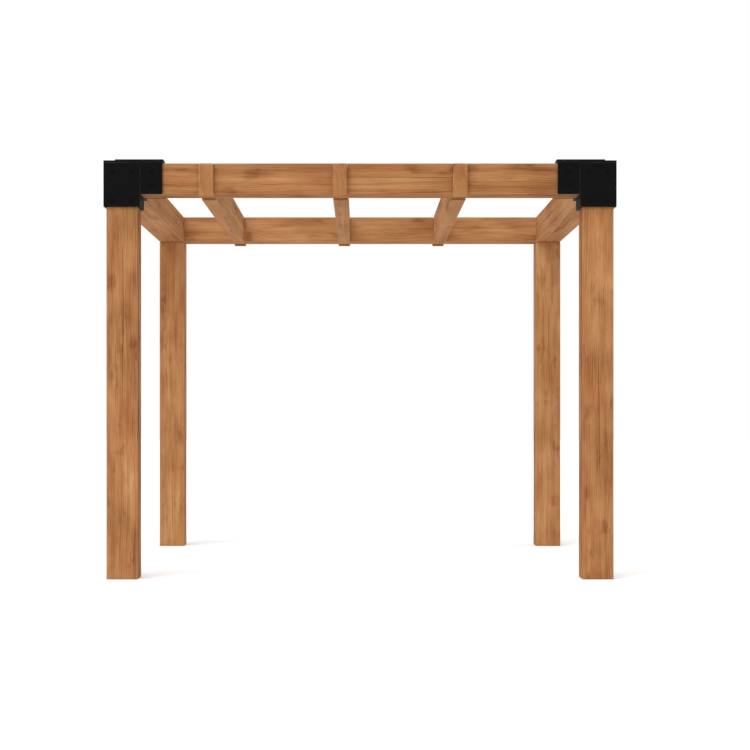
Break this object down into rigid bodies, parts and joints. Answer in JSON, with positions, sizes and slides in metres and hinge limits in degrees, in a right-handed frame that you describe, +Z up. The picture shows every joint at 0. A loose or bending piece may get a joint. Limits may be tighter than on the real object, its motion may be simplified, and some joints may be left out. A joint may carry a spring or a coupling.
{
  "type": "wooden arbor",
  "caption": "Open square garden arbor of heavy timber posts and beams, with rafters halved across the top and black steel brackets at the front corners.",
  "frame": {"origin": "on the ground, under the middle of the bounding box", "axes": "+Z up, +X to the right seen from the bracketed front, +Y from the front to the rear"},
  "size_m": [2.476, 2.51, 2.035],
  "materials": {
    "timber": "planed softwood, oiled warm tan",
    "bracket_steel": "matt black powder coat"
  },
  "bodies": {
    "root": {"front_left_post": "timber", "front_right_post": "timber", "rear_left_post": "timber", "rear_right_post": "timber", "front_beam": "timber", "rear_beam": "timber", "left_side_beam": "timber", "right_side_beam": "timber", "left_rafter": "timber", "middle_rafter": "timber", "right_rafter": "timber", "left_bracket_post_socket": "bracket_steel", "left_bracket_cap": "bracket_steel", "left_bracket_beam_saddle": "bracket_steel", "left_bracket_side_saddle": "bracket_steel", "left_bracket_tie_plate": "bracket_steel", "right_bracket_post_socket": "bracket_steel", "right_bracket_cap": "bracket_steel", "right_bracket_beam_saddle": "bracket_steel", "right_bracket_side_saddle": "bracket_steel", "right_bracket_tie_plate": "bracket_steel"}
  },
  "joints": []
}
